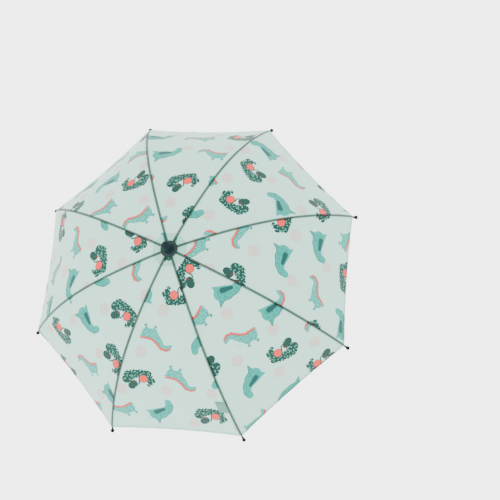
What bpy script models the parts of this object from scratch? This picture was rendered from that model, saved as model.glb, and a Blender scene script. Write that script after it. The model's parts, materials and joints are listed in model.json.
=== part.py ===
"""Children's umbrella, open, held upright by its crook handle.

Row frame: the shaft axis is Z, the ferrule points up, and the origin is on the axis in the
middle of the straight part of the grip. The crook bends towards +X. Lengths are in metres.
Ribs are numbered anticlockwise from +X, and panel N lies between rib N and the next rib.
"""

import math

import bmesh
import bpy
from mathutils import Matrix, Vector

# ---- driving dimensions, metres and degrees ----
RIBS = 8
STEP = 2 * math.pi / RIBS
HALF = STEP / 2

TIP_RADIUS = 0.350
CANOPY_DEPTH = 0.1864
PROFILE_LINEAR = 0.0903
PROFILE_SQUARE = 0.4414
APEX_Z = 0.4650

CROWN_RADIUS = 0.0110
FOLD_RADIUS = 0.0150
STRETCHER_RADIUS = 0.1680
FLEX_RADIUS = 0.2100
HEM_RADIUS = 0.3420
HEM_SAG = 0.0048
PANEL_GAP = 0.0003
SEAM_GAP = 0.0004
LAYER_GAP = 0.0003

FABRIC_THICK = 0.0007
CLOSED_MARGIN = 0.3
RIB_DROP = 0.0028
RIB_WIDE = 0.0030
RIB_DEEP = 0.0024
RIB_TIP_SIZE = 0.0018
EYE_RADIUS = 0.0016
TONGUE_WIDE = 0.0014
TONGUE_DEEP = 0.0022
TONGUE_LONG = 0.0055
TONGUE_LAP = 0.0010
UNION_LAP = 0.00003
TIP_TAPER_LONG = 0.0300
TIP_SEAT = 0.0045
TIP_TAPER_GAP = 0.0010
TIP_AIM = 0.0070
PIN_RADIUS = 0.0006
PIN_HOLE = 0.00072
FLEX_GAP = 0.0005

STRIP_INNER = 0.0019
STRIP_OUTER = 0.0026
STRIP_DEEP = 0.0022
STRIP_PAD = 0.0015
BRIDGE_DEEP = 0.0026
BRIDGE_FROM = 0.0095
BRIDGE_TO = 0.0055
CUT_HALF = 0.0040
STRIP_END = 0.0065
BRIDGE_LAP = 0.0020
RIVET_OUT = 0.0003

BALL_RADIUS = 0.0039
NECK_RADIUS = 0.0020
NECK_LONG = 0.0110
NECK_BORE = 0.00145
NECK_FLOOR = 0.0038

SHAFT_RADIUS = 0.0050
SHAFT_INNER = 0.0043
SHAFT_BOTTOM = -0.0180
SLEEVE_BORE = 0.0052
RUNNER_BORE = 0.00535
RUNNER_LONG = 0.0380
HUB_RADIUS = 0.0130
SLOT_WIDE = 0.0020
SLOT_INNER = 0.0083
SLOT_OUTER = 0.0200
SLOT_REACH = 0.0060
HUB_BELOW = 0.0040
CROWN_ABOVE = 0.0012
RUNNER_ABOVE = 0.0035
CROWN_SKIRT = 0.0120
SLEEVE_RADIUS = 0.0075
RUNNER_WAIST = 0.0078
RUNNER_FOOT = 0.0094
RUNNER_FLOOR = 0.0001
RUNNER_EDGE = 0.0006
FOOT_FROM = 0.0010
FOOT_TO = 0.0040
WAIST_FROM = 0.0062
WAIST_TO = 0.0090
FLARE_FROM = 0.0050
WINDOW_WIDE = 0.0030
WINDOW_LOW = 0.0085
WINDOW_HIGH = 0.0185
CUT_FROM = 0.0020
WINDOW_CUT = 0.0120
SHAFT_CUT = 0.0080
HUB_STEPS = 24
PIN_STEPS = 8

GRIP_RADIUS = 0.0091
GRIP_TOP = 0.0416
GRIP_EDGE = 0.0008
CROOK_Z = -0.0406
CROOK_RADIUS = 0.0334
HOOK_LONG = 0.0190
HOOK_ROUND = 0.0035
COLLAR_LONG = 0.0187
COLLAR_GAP = 0.0003
COLLAR_RADIUS = 0.0081
COLLAR_NECK = 0.0067
COLLAR_BAND = 0.0050
COLLAR_EDGE = 0.0008
BORE_DEPTH = 0.0600
BORE_ABOVE = 0.0180

CATCH_WIDE = 0.0018
CATCH_SLOT = 0.0026
CATCH_BACK = 0.0024
CATCH_NOSE = 0.0074
CATCH_LONG = 0.0240
CATCH_PIVOT = 0.0028
CATCH_ROOM = 0.0005
CATCH_ROOT = 0.0010
CATCH_THIN = 0.0007
CATCH_KNEE_OUT = 0.0016
CATCH_KNEE = 0.0100
CATCH_FLAT = 0.0008
CATCH_IN_WINDOW = 0.0008
CATCH_BELOW_RUNNER = 0.0255

FERRULE_LONG = 0.0284
FERRULE_FLARE = 0.01025
FERRULE_NECK = 0.0062
FERRULE_BALL = 0.00895
FERRULE_SOCKET = 0.0120
FERRULE_EDGE = 0.0005
FERRULE_RIM = 0.0016
FERRULE_CURVE = 0.0079
SHAFT_TOP_ABOVE = 0.0130
WASHER_RADIUS = 0.0165
WASHER_THICK = 0.0012
WASHER_EDGE = 0.0004

STRAP_GORE = 6
STRAP_FROM = 0.2800
STRAP_LONG = 0.0240
STRAP_WIDE = 0.0200
STRAP_THICK = 0.0012
STRAP_INSET = 0.0012
STRAP_SLOPE = 0.72

GREEN = (0.60, 0.76, 0.70)
TEAL = (0.07, 0.22, 0.26)
DARK = (0.012, 0.035, 0.030)
WHITE = (0.85, 0.84, 0.86)
STEEL = (0.55, 0.56, 0.57)


# ---- the canopy's shape ----
def fabric_z(radius):
    """Height of the fabric over a rib at this distance from the shaft."""
    t = radius / TIP_RADIUS
    fourth = 1 - PROFILE_LINEAR - PROFILE_SQUARE
    return APEX_Z - CANOPY_DEPTH * (PROFILE_LINEAR * t + PROFILE_SQUARE * t * t + fourth * t ** 4)


def fabric_normal(radius):
    """Outward normal of that curve, as (radial, up)."""
    e = 1e-5
    slope = (fabric_z(radius + e) - fabric_z(radius - e)) / (2 * e)
    size = math.hypot(slope, 1)
    return -slope / size, 1 / size


def rib_point(radius, below=RIB_DROP):
    """A point of a rib's centre line, under the fabric at this radius."""
    nr, nz = fabric_normal(radius)
    return radius - nr * below, fabric_z(radius) - nz * below


def radius_at_distance(start, distance):
    """The fabric radius whose rib point lies this far from the rib point at start."""
    low, high = (start, start + 2 * distance) if distance > 0 else (start + 2 * distance, start)
    x0, z0 = rib_point(start)
    for _ in range(50):
        mid = (low + high) / 2
        x1, z1 = rib_point(mid)
        far = math.hypot(x1 - x0, z1 - z0) > abs(distance)
        if far == (distance > 0):
            high = mid
        else:
            low = mid
    return (low + high) / 2


CROWN = rib_point(CROWN_RADIUS)
ELBOW = rib_point(STRETCHER_RADIUS)
FLEX = rib_point(FLEX_RADIUS)
TIP = rib_point(TIP_RADIUS)
RUNNER_PIN = (CROWN[0], 2 * ELBOW[1] - CROWN[1])
RUNNER_LOW = RUNNER_PIN[1] + RUNNER_ABOVE - RUNNER_LONG
TOP_CATCH_Z = RUNNER_LOW - CATCH_BELOW_RUNNER
SHRINK = math.cos(HALF)
FOLD_X = FOLD_RADIUS * SHRINK
FLEX_X = FLEX_RADIUS * SHRINK
HEM_X = HEM_RADIUS * SHRINK
CLOSED_ANGLE = math.atan2(FLEX[0] - CROWN[0], CROWN[1] - FLEX[1]) - math.radians(CLOSED_MARGIN)


# ---- making objects ----
def closed_runner_low():
    """Height of the runner's lower end when the ribs hang closed round the shaft."""
    x, z = ELBOW[0] - CROWN[0], ELBOW[1] - CROWN[1]
    elbow_z = CROWN[1] - x * math.sin(CLOSED_ANGLE) + z * math.cos(CLOSED_ANGLE)
    return RUNNER_LOW + 2 * (elbow_z - ELBOW[1])


LOW_CATCH_Z = closed_runner_low() + WINDOW_LOW + CATCH_IN_WINDOW + CATCH_LONG
# each catch's fixed end and the way it runs from there
CATCHES = {"top_catch": (TOP_CATCH_Z, 1), "bottom_catch": (LOW_CATCH_Z, -1)}


def clear_scene():
    for ob in list(bpy.data.objects):
        bpy.data.objects.remove(ob, do_unlink=True)


def material(name, colour, rough, metal):
    m = bpy.data.materials.new(name)
    m.use_nodes = True
    shader = m.node_tree.nodes["Principled BSDF"]
    shader.inputs["Base Color"].default_value = (*colour, 1)
    shader.inputs["Roughness"].default_value = rough
    shader.inputs["Metallic"].default_value = metal
    return m


def make_mesh(name, verts, faces):
    mesh = bpy.data.meshes.new(name)
    mesh.from_pydata([tuple(v) for v in verts], [], faces)
    bm = bmesh.new()
    bm.from_mesh(mesh)
    bmesh.ops.recalc_face_normals(bm, faces=bm.faces)
    bm.to_mesh(mesh)
    bm.free()
    return mesh


def make_object(name, mesh):
    ob = bpy.data.objects.new(name, mesh)
    bpy.context.scene.collection.objects.link(ob)
    return ob


def finish(name, mesh, origin, colour, rough=0.5, metal=0.0):
    """Links a mesh given in the row frame, with the object's origin at its joint."""
    mesh.transform(Matrix.Translation(-Vector(origin)))
    ob = make_object(name, mesh)
    ob.location = origin
    mesh.materials.clear()
    mesh.materials.append(material(name, colour, rough, metal))
    return ob


def combine(first, others, operation):
    """The exact union or difference of meshes."""
    ob = make_object("work", first)
    for mesh in others:
        tool = make_object("tool", mesh)
        tool.hide_render = True
        tool.display_type = "WIRE"
        mod = ob.modifiers.new("cut", "BOOLEAN")
        mod.operation = operation
        mod.solver = "EXACT"
        mod.object = tool
        bpy.context.view_layer.update()
        graph = bpy.context.evaluated_depsgraph_get()
        result = bpy.data.meshes.new_from_object(ob.evaluated_get(graph))
        ob.modifiers.remove(mod)
        ob.data = result
        bpy.data.objects.remove(tool, do_unlink=True)
    result = ob.data
    bpy.data.objects.remove(ob, do_unlink=True)
    return result


def lathe(profile, steps, closed_ring=False):
    """Turns (radius, z) points about Z. A radius of 0 is a pole, and a closed ring has none."""
    verts = []
    rings = []
    for r, z in profile:
        if r == 0:
            rings.append([len(verts)] * steps)
            verts.append((0, 0, z))
        else:
            first = len(verts)
            rings.append([first + k for k in range(steps)])
            for k in range(steps):
                a = 2 * math.pi * k / steps
                verts.append((r * math.cos(a), r * math.sin(a), z))
    faces = []
    pairs = list(zip(rings, rings[1:]))
    if closed_ring:
        pairs.append((rings[-1], rings[0]))
    for low, high in pairs:
        for k in range(steps):
            n = (k + 1) % steps
            corners = []
            for v in (low[k], low[n], high[n], high[k]):
                if v not in corners:
                    corners.append(v)
            faces.append(corners)
    return make_mesh("lathe", verts, faces)


def loft(rings):
    """Joins rings of points in order and caps both ends."""
    size = len(rings[0])
    verts = [p for ring in rings for p in ring]
    faces = []
    for i in range(len(rings) - 1):
        for k in range(size):
            n = (k + 1) % size
            faces.append((i * size + k, i * size + n, (i + 1) * size + n, (i + 1) * size + k))
    faces.append(tuple(range(size)))
    faces.append(tuple(range(len(verts) - size, len(verts))))
    return make_mesh("loft", verts, faces)


def slab(outline, y0, y1):
    """A flat shape in the X-Z plane made thick along Y."""
    return loft([[(x, y0, z) for x, z in outline], [(x, y1, z) for x, z in outline]])


def box(low, high):
    outline = [(low[0], low[2]), (high[0], low[2]), (high[0], high[2]), (low[0], high[2])]
    return slab(outline, low[1], high[1])


def round_pin(x, z, radius, y0, y1, steps):
    turns = [2 * math.pi * (k + 0.5) / steps for k in range(steps)]
    return slab([(x + radius * math.cos(a), z + radius * math.sin(a)) for a in turns], y0, y1)


def bar(stations):
    """A rectangular bar through (x, z, normal x, normal z, half width, half depth) stations."""
    rings = []
    for x, z, nx, nz, wide, deep in stations:
        corners = ((-wide, -deep), (wide, -deep), (wide, deep), (-wide, deep))
        rings.append([(x + nx * d, w, z + nz * d) for w, d in corners])
    return loft(rings)


def turned(mesh, angle):
    copy = mesh.copy()
    copy.transform(Matrix.Rotation(angle, 4, "Z"))
    return copy


def place(point, angle):
    """An (x, z) point of the plane Y = 0, turned about the shaft."""
    return point[0] * math.cos(angle), point[0] * math.sin(angle), point[1]


# ---- ribs ----
def rib_station(radius, wide, deep):
    x, z = rib_point(radius)
    nx, nz = fabric_normal(radius)
    return x, z, nx, nz, wide / 2, deep / 2


def inner_rib():
    shoulder = radius_at_distance(CROWN_RADIUS, TONGUE_LONG)
    end = radius_at_distance(FLEX_RADIUS, -FLEX_GAP)
    count = 12
    body = [
        rib_station(shoulder + (end - shoulder) * k / count, RIB_WIDE, RIB_DEEP)
        for k in range(count + 1)
    ]
    tongue = [
        rib_station(CROWN_RADIUS, TONGUE_WIDE, TONGUE_DEEP),
        rib_station(shoulder + TONGUE_LAP, TONGUE_WIDE, TONGUE_DEEP),
    ]
    eye_wide = TONGUE_WIDE / 2 + UNION_LAP
    eye = round_pin(*CROWN, EYE_RADIUS, -eye_wide, eye_wide, PIN_STEPS)
    boss_wide = RIB_WIDE / 2 + UNION_LAP
    boss = round_pin(*ELBOW, EYE_RADIUS, -boss_wide, boss_wide, PIN_STEPS)
    mesh = combine(bar(body), [bar(tongue), eye, boss], "UNION")
    holes = [round_pin(*p, PIN_HOLE, -CUT_HALF, CUT_HALF, PIN_STEPS) for p in (CROWN, ELBOW)]
    return combine(mesh, holes, "DIFFERENCE")


def outer_rib():
    start = radius_at_distance(FLEX_RADIUS, FLEX_GAP)
    taper_from = radius_at_distance(TIP_RADIUS, -TIP_TAPER_LONG)
    taper_to = radius_at_distance(TIP_RADIUS, -NECK_LONG - TIP_TAPER_GAP)
    end = radius_at_distance(TIP_RADIUS, -TIP_SEAT)
    count = 12
    body = [
        rib_station(start + (taper_from - start) * k / count, RIB_WIDE, RIB_DEEP)
        for k in range(count + 1)
    ]
    body.append(rib_station(taper_to, RIB_TIP_SIZE, RIB_TIP_SIZE))
    body.append(rib_station(end, RIB_TIP_SIZE, RIB_TIP_SIZE))
    return bar(body)


def rib_tip():
    """The ball and its neck. The neck is a sleeve over the rib's end."""
    profile = [
        (0, -NECK_FLOOR),
        (NECK_BORE, -NECK_FLOOR),
        (NECK_BORE, -NECK_LONG),
        (NECK_RADIUS, -NECK_LONG),
    ]
    first = math.pi - math.asin(NECK_RADIUS / BALL_RADIUS)
    rings = 5
    for k in range(rings + 1):
        a = first * (1 - k / rings)
        r = BALL_RADIUS * math.sin(a) if k < rings else 0
        profile.append((r, BALL_RADIUS * math.cos(a)))
    mesh = lathe(profile, 10)
    x0, z0 = rib_point(radius_at_distance(TIP_RADIUS, -TIP_AIM))
    way = math.atan2(TIP[0] - x0, TIP[1] - z0)
    mesh.transform(Matrix.Rotation(way, 4, "Y"))
    mesh.transform(Matrix.Translation((TIP[0], 0, TIP[1])))
    return mesh


# ---- stretchers ----
def stretcher():
    """Two strips that straddle the rib, joined by a pin at one end and a tongue at the other."""
    x0, z0 = ELBOW
    length = math.hypot(RUNNER_PIN[0] - x0, RUNNER_PIN[1] - z0)
    ux, uz = (RUNNER_PIN[0] - x0) / length, (RUNNER_PIN[1] - z0) / length
    nx, nz = -uz, ux

    def at(along, wide, deep):
        return x0 + ux * along, z0 + uz * along, nx, nz, wide / 2, deep / 2

    def strip(side):
        y = side * (STRIP_INNER + STRIP_OUTER) / 2
        thick = STRIP_OUTER - STRIP_INNER
        mesh = bar([at(0, thick, STRIP_DEEP), at(length - STRIP_END, thick, STRIP_DEEP)])
        mesh.transform(Matrix.Translation((0, y, 0)))
        return mesh

    outer = STRIP_OUTER + UNION_LAP
    inner = STRIP_INNER - UNION_LAP
    bridge_at = (length - BRIDGE_FROM, length - BRIDGE_TO)
    bridge = bar([at(along, 2 * outer, BRIDGE_DEEP) for along in bridge_at])
    tongue_at = (length - BRIDGE_TO - BRIDGE_LAP, length)
    tongue = bar([at(along, TONGUE_WIDE, TONGUE_DEEP) for along in tongue_at])
    eye_wide = TONGUE_WIDE / 2 + UNION_LAP
    eye = round_pin(*RUNNER_PIN, EYE_RADIUS, -eye_wide, eye_wide, PIN_STEPS)
    pads = [round_pin(*ELBOW, STRIP_PAD, s * inner, s * outer, PIN_STEPS) for s in (-1, 1)]
    pin_wide = STRIP_OUTER + RIVET_OUT
    pin = round_pin(*ELBOW, PIN_RADIUS, -pin_wide, pin_wide, PIN_STEPS)
    parts = [strip(-1), strip(1), tongue, eye, *pads, pin]
    mesh = combine(bridge, parts, "UNION")
    hole = round_pin(*RUNNER_PIN, PIN_HOLE, -CUT_HALF, CUT_HALF, PIN_STEPS)
    return combine(mesh, [hole], "DIFFERENCE")


# ---- fabric panels ----
def sheet_solid(points, thick):
    """A closed thin solid round a grid of (point, normal) pairs."""
    rows, cols = len(points), len(points[0])
    verts = []
    for side in (0.5, -0.5):
        for row in points:
            for p, n in row:
                verts.append(tuple(a + b * thick * side for a, b in zip(p, n)))
    under = rows * cols
    faces = []
    for i in range(rows - 1):
        for k in range(cols - 1):
            a = i * cols + k
            quad = (a, a + 1, a + cols + 1, a + cols)
            faces.append(quad)
            faces.append(tuple(v + under for v in reversed(quad)))
    edge = [k for k in range(cols)]
    edge += [i * cols + cols - 1 for i in range(1, rows)]
    edge += [(rows - 1) * cols + k for k in range(cols - 2, -1, -1)]
    edge += [i * cols for i in range(rows - 2, 0, -1)]
    for a, b in zip(edge, edge[1:] + edge[:1]):
        faces.append((b, a, a + under, b + under))
    return make_mesh("sheet", verts, faces)


def gore_point(x, y, lift=0.0):
    """A point of a gore and its normal. Towards the hem the middle of a gore lies further in."""
    radius = x / SHRINK
    nr, nz = fabric_normal(radius)
    nx = nr / SHRINK
    size = math.hypot(nx, nz)
    nx, nz = nx / size, nz / size
    side = y / (x * math.tan(HALF))
    t = max(0, (x - FLEX_X) / (HEM_X - FLEX_X))
    up = lift - HEM_SAG * (1 - side * side) * t * t
    return (x + nx * up, y, fabric_z(radius) + nz * up), (nx, 0, nz)


def gore_sheet(x0, x1, rows, cols):
    grid = []
    for i in range(rows + 1):
        x = x0 + (x1 - x0) * i / rows
        half = x * math.tan(HALF) - SEAM_GAP
        grid.append([gore_point(x, half * (2 * k / cols - 1)) for k in range(cols + 1)])
    return sheet_solid(grid, FABRIC_THICK)


# ---- shaft, hubs and handle ----
def hub_slots(z0, z1):
    slots = []
    for i in range(RIBS):
        slot = box((SLOT_INNER, -SLOT_WIDE / 2, z0), (SLOT_OUTER, SLOT_WIDE / 2, z1))
        slots.append(turned(slot, i * STEP))
    return slots


def pin_ring(z):
    """The wire that the ribs or stretchers turn on."""
    profile = []
    for k in range(6):
        a = 2 * math.pi * (k + 0.5) / 6
        profile.append((CROWN[0] + PIN_RADIUS * math.cos(a), z + PIN_RADIUS * math.sin(a)))
    mesh = lathe(profile, 4 * RIBS, closed_ring=True)
    mesh.transform(Matrix.Rotation(math.pi / (4 * RIBS), 4, "Z"))
    return mesh


def crown_notch():
    z = CROWN[1]
    profile = [
        (SLEEVE_BORE, z - CROWN_SKIRT),
        (SLEEVE_RADIUS, z - CROWN_SKIRT),
        (SLEEVE_RADIUS, z - HUB_BELOW),
        (HUB_RADIUS, z - HUB_BELOW),
        (HUB_RADIUS, z + CROWN_ABOVE),
        (SLEEVE_BORE, z + CROWN_ABOVE),
    ]
    mesh = lathe(profile, HUB_STEPS, closed_ring=True)
    mesh = combine(mesh, hub_slots(z - SLOT_REACH, z + SLOT_REACH), "DIFFERENCE")
    return combine(mesh, [pin_ring(z)], "UNION")


def runner():
    z = RUNNER_PIN[1]
    low = RUNNER_LOW
    profile = [
        (RUNNER_BORE, low),
        (RUNNER_FOOT - RUNNER_EDGE, low),
        (RUNNER_FOOT, low + FOOT_FROM),
        (RUNNER_FOOT, low + FOOT_TO),
        (RUNNER_WAIST, low + WAIST_FROM),
        (RUNNER_WAIST, z - WAIST_TO),
        (RUNNER_FOOT, z - FLARE_FROM),
        (HUB_RADIUS, z - HUB_BELOW),
        (HUB_RADIUS, z + RUNNER_ABOVE),
        (RUNNER_BORE, z + RUNNER_ABOVE),
    ]
    mesh = lathe(profile, HUB_STEPS, closed_ring=True)
    half = WINDOW_WIDE / 2
    window = box((CUT_FROM, -half, low + WINDOW_LOW), (WINDOW_CUT, half, low + WINDOW_HIGH))
    cuts = hub_slots(z - HUB_BELOW + RUNNER_FLOOR, z + SLOT_REACH) + [turned(window, HALF)]
    mesh = combine(mesh, cuts, "DIFFERENCE")
    return combine(mesh, [pin_ring(z)], "UNION")


def shaft():
    top = APEX_Z + SHAFT_TOP_ABOVE
    profile = [
        (SHAFT_INNER, SHAFT_BOTTOM),
        (SHAFT_RADIUS, SHAFT_BOTTOM),
        (SHAFT_RADIUS, top),
        (SHAFT_INNER, top),
    ]
    mesh = lathe(profile, 24, closed_ring=True)
    slots = []
    half = CATCH_SLOT / 2
    for z0, way in CATCHES.values():
        ends = sorted((z0 - way * CATCH_ROOM, z0 + way * (CATCH_LONG + 2 * CATCH_ROOM)))
        slots.append(turned(box((CUT_FROM, -half, ends[0]), (SHAFT_CUT, half, ends[1])), HALF))
    return combine(mesh, slots, "DIFFERENCE")


def catch(z0, way):
    """A leaf spring in the shaft from z0, up or down. Its nose stands out through the slot."""
    outline = [
        (CATCH_BACK, CATCH_ROOT),
        (CATCH_BACK + CATCH_THIN, CATCH_ROOT),
        (CATCH_BACK + CATCH_KNEE_OUT, CATCH_KNEE),
        (CATCH_NOSE, CATCH_LONG - CATCH_FLAT),
        (CATCH_NOSE, CATCH_LONG),
        (CATCH_BACK, CATCH_LONG),
    ]
    outline = [(x, z0 + way * z) for x, z in outline]
    return turned(slab(outline, -CATCH_WIDE / 2, CATCH_WIDE / 2), HALF)


def crook_handle():
    rings = []
    steps = 20

    def ring(x, z, nx, nz, radius):
        out = []
        for k in range(steps):
            a = 2 * math.pi * k / steps
            side = radius * math.cos(a)
            out.append((x + nx * side, radius * math.sin(a), z + nz * side))
        return out

    rings.append(ring(0, GRIP_TOP, 1, 0, GRIP_RADIUS - GRIP_EDGE))
    rings.append(ring(0, GRIP_TOP - GRIP_EDGE, 1, 0, GRIP_RADIUS))
    for k in range(1, 4):
        rings.append(ring(0, GRIP_TOP + (CROOK_Z - GRIP_TOP) * k / 4, 1, 0, GRIP_RADIUS))
    bends = 16
    for k in range(bends + 1):
        a = math.pi * k / bends
        x = CROOK_RADIUS * (1 - math.cos(a))
        z = CROOK_Z - CROOK_RADIUS * math.sin(a)
        rings.append(ring(x, z, math.cos(a), math.sin(a), GRIP_RADIUS))
    end_x = 2 * CROOK_RADIUS
    end_z = CROOK_Z + HOOK_LONG
    for k in range(5):
        a = math.pi / 2 * k / 4
        r = GRIP_RADIUS - HOOK_ROUND * (1 - math.cos(a))
        rings.append(ring(end_x, end_z - HOOK_ROUND * (1 - math.sin(a)), -1, 0, r))
    mesh = loft(rings)
    floor_z, over_z = GRIP_TOP - BORE_DEPTH, GRIP_TOP + BORE_ABOVE
    bore = lathe([(0, floor_z), (SLEEVE_BORE, floor_z), (SLEEVE_BORE, over_z), (0, over_z)], 24)
    return combine(mesh, [bore], "DIFFERENCE")


def handle_collar():
    low = GRIP_TOP + COLLAR_GAP
    top = low + COLLAR_LONG
    profile = [
        (SLEEVE_BORE, low),
        (COLLAR_RADIUS - COLLAR_EDGE / 2, low),
        (COLLAR_RADIUS, low + COLLAR_EDGE),
        (COLLAR_RADIUS, low + COLLAR_BAND),
        (COLLAR_NECK, top - COLLAR_EDGE),
        (COLLAR_NECK - COLLAR_EDGE / 2, top),
        (SLEEVE_BORE, top),
    ]
    return lathe(profile, 24, closed_ring=True)


def ferrule():
    z = APEX_Z + FABRIC_THICK / 2 + WASHER_THICK + 2 * LAYER_GAP
    profile = [
        (0, z + FERRULE_SOCKET),
        (SLEEVE_BORE, z + FERRULE_SOCKET),
        (SLEEVE_BORE, z),
        (FERRULE_FLARE - FERRULE_EDGE, z),
        (FERRULE_FLARE, z + FERRULE_EDGE),
        (FERRULE_FLARE, z + FERRULE_RIM),
    ]
    for k in range(1, 6):
        t = k / 5
        r = FERRULE_NECK + (FERRULE_FLARE - FERRULE_NECK) * (1 - t) ** 2
        profile.append((r, z + FERRULE_RIM + FERRULE_CURVE * t))
    centre = z + FERRULE_LONG - FERRULE_BALL
    first = math.pi - math.asin(FERRULE_NECK / FERRULE_BALL)
    rings = 8
    for k in range(rings + 1):
        a = first * (1 - k / rings)
        r = FERRULE_BALL * math.sin(a) if k < rings else 0
        profile.append((r, centre + FERRULE_BALL * math.cos(a)))
    return lathe(profile, 20)


def crown_washer():
    z = APEX_Z + FABRIC_THICK / 2 + LAYER_GAP
    profile = [
        (SLEEVE_BORE, z),
        (WASHER_RADIUS - WASHER_EDGE, z),
        (WASHER_RADIUS, z + WASHER_EDGE),
        (WASHER_RADIUS - WASHER_EDGE, z + WASHER_THICK),
        (SLEEVE_BORE, z + WASHER_THICK),
    ]
    return lathe(profile, HUB_STEPS, closed_ring=True)


# ---- strap ----
def closure_strap():
    """The folded strap sewn on the outside of a panel beside a rib."""
    grid = []
    lift = FABRIC_THICK / 2 + LAYER_GAP + STRAP_THICK / 2
    for i in range(7):
        x = STRAP_FROM - STRAP_LONG * STRAP_SLOPE * i / 6
        row = []
        for k in range(5):
            y = x * math.tan(HALF) - STRAP_INSET - STRAP_WIDE * k / 4
            row.append(gore_point(x, y, lift))
        grid.append(row)
    return sheet_solid(grid, STRAP_THICK)


# ---- assembly ----
def build_frame():
    axis = (0, 0, 0)
    finish("shaft", shaft(), axis, STEEL, 0.30, 0.9)
    finish("handle", crook_handle(), axis, TEAL, 0.35)
    finish("handle_collar", handle_collar(), axis, WHITE, 0.40)
    finish("crown_notch", crown_notch(), (0, 0, CROWN[1]), WHITE, 0.45)
    finish("crown_washer", crown_washer(), (0, 0, APEX_Z), WHITE, 0.45)
    finish("ferrule", ferrule(), (0, 0, APEX_Z), TEAL, 0.35)
    finish("runner", runner(), (0, 0, RUNNER_PIN[1]), WHITE, 0.40)
    for name, (z0, way) in CATCHES.items():
        origin = place((CATCH_PIVOT, z0 + way * CATCH_ROOT), HALF)
        finish(name, catch(z0, way), origin, STEEL, 0.35, 0.9)


def build_ribs():
    inner, outer, tip, arm = inner_rib(), outer_rib(), rib_tip(), stretcher()
    for i in range(RIBS):
        a = i * STEP
        finish(f"rib_inner_{i + 1}", turned(inner, a), place(CROWN, a), STEEL, 0.35, 0.9)
        finish(f"rib_outer_{i + 1}", turned(outer, a), place(FLEX, a), STEEL, 0.35, 0.9)
        finish(f"rib_tip_{i + 1}", turned(tip, a), place(TIP, a), DARK, 0.40)
        finish(f"stretcher_{i + 1}", turned(arm, a), place(ELBOW, a), STEEL, 0.35, 0.9)


def build_canopy():
    inner = gore_sheet(FOLD_X, FLEX_X - PANEL_GAP, 7, 2)
    outer = gore_sheet(FLEX_X + PANEL_GAP, HEM_X, 7, 6)
    fold_at = (FOLD_X, fabric_z(FOLD_RADIUS))
    flex_at = (FLEX_X, fabric_z(FLEX_RADIUS))
    for i in range(RIBS):
        a = i * STEP + HALF
        finish(f"panel_inner_{i + 1}", turned(inner, a), place(fold_at, a), GREEN, 0.8)
        finish(f"panel_outer_{i + 1}", turned(outer, a), place(flex_at, a), GREEN, 0.8)
    a = (STRAP_GORE - 1) * STEP + HALF
    finish("closure_strap", turned(closure_strap(), a), place(flex_at, a), TEAL, 0.7)


clear_scene()
build_frame()
build_ribs()
build_canopy()
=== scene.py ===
"""The looks of the children's umbrella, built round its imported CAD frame.

Lengths are in metres in the row frame: the shaft is the Z axis and the ferrule points up.
Rib N stands at azimuth 45 * (N - 1) degrees, and gore N fills the space to the next rib.
"""

import json
import math

import bmesh
import bpy
from mathutils import Matrix, Vector


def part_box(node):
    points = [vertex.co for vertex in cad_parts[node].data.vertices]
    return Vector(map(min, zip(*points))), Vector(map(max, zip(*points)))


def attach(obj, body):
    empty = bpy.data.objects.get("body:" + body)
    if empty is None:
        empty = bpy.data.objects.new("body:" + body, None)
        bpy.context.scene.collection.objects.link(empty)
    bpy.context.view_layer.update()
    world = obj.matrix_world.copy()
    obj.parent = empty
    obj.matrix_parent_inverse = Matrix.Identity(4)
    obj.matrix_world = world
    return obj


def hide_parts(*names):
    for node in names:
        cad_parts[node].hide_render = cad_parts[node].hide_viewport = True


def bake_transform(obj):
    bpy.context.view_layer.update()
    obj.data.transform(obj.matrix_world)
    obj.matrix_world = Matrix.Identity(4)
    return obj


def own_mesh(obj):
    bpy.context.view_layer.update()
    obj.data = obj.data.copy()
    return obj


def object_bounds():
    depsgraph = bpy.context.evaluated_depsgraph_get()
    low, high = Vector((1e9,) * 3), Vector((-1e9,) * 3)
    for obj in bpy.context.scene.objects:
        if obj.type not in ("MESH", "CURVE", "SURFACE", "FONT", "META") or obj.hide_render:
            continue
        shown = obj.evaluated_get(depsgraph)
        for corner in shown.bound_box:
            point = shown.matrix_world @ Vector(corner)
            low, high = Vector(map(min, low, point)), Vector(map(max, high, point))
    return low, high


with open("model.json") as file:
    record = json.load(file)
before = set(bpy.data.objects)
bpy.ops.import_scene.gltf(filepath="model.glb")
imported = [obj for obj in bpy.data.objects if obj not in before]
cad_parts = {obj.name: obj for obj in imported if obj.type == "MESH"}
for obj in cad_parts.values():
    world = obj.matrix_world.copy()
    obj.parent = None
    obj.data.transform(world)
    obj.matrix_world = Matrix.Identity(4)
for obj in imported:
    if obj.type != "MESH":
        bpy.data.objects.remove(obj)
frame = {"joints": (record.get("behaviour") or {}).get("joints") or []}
cad_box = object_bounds()

# ---- driving dimensions, in metres ----
RIBS = 8
STEP = 2 * math.pi / RIBS
HALF = STEP / 2
SHRINK = math.cos(HALF)
MM = 0.001

TIP_RADIUS = 0.350
CANOPY_DEPTH = 0.1864
PROFILE_LINEAR = 0.0903
PROFILE_SQUARE = 0.4414
PROFILE_FOURTH = 1 - PROFILE_LINEAR - PROFILE_SQUARE
RIB_DROP = 0.0028
CROWN_RADIUS = 0.0110
FOLD_RADIUS = 0.0150
STRETCHER_RADIUS = 0.1680
FLEX_RADIUS = 0.2100
HEM_RADIUS = 0.3420
HEM_SAG = 0.0048

# the cloth: sag, pleats, turned edges, mesh density, where its print and stitches change, and how far its
# painted shade reaches at the crown and the seams
SAG = 0.0016
WAVE = 0.00026
WAVES = 7
PLEAT_NEAR = 0.0200
PLEAT_GROW = 0.08
SEAM_TURN = 0.0030
HEM_TURN = 0.0060
LAYER_GAP = 0.0004
INNER_ROWS = 28
OUTER_ROWS = 34
COLUMNS = 42
WEAVE = 2600.0
CROWN_SHADE_REACH = 0.0325
SEAM_SHADE_HALF_WIDTH = 0.0028
HEM_STITCH = 0.0052
STITCH_PITCH = 0.0011

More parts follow.
